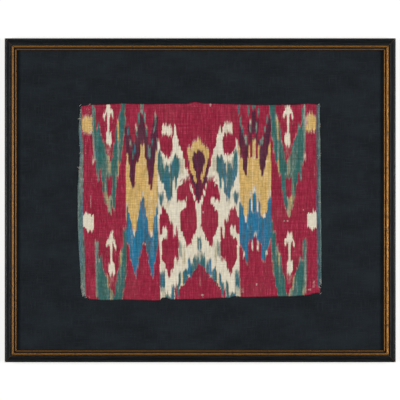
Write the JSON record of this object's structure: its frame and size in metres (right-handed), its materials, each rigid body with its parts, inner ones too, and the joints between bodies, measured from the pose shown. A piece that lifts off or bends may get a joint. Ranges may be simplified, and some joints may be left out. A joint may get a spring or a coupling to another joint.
{
  "type": "ikat cloth fragment in a picture frame",
  "caption": "Worn length of warp-dyed ikat cloth laid on a dark cloth mount, inside a black and gilt moulded wooden frame that rests on its back.",
  "frame": {"origin": "middle of the frame's back, in the plane that it rests on", "axes": "+X to the right of the picture, +Y to its top, +Z out of its face"},
  "size_m": [0.61, 0.5056, 0.023],
  "materials": {
    "frame_wood": "black lacquer over brown wood, the two inner beads gilt and rubbed",
    "mount_fabric": "matt blue-black plain weave",
    "pulp_board": "plain grey pulp board",
    "ikat_fabric": "fine ribbed weave with warp-dyed figures in madder red, cream, yellow, blue, green and plum"
  },
  "bodies": {
    "root": {"rail_left": "frame_wood", "rail_right": "frame_wood", "rail_top": "frame_wood", "rail_bottom": "frame_wood", "mount_cloth": "mount_fabric", "backing_board": "pulp_board", "ikat_cloth": "ikat_fabric"}
  },
  "joints": []
}
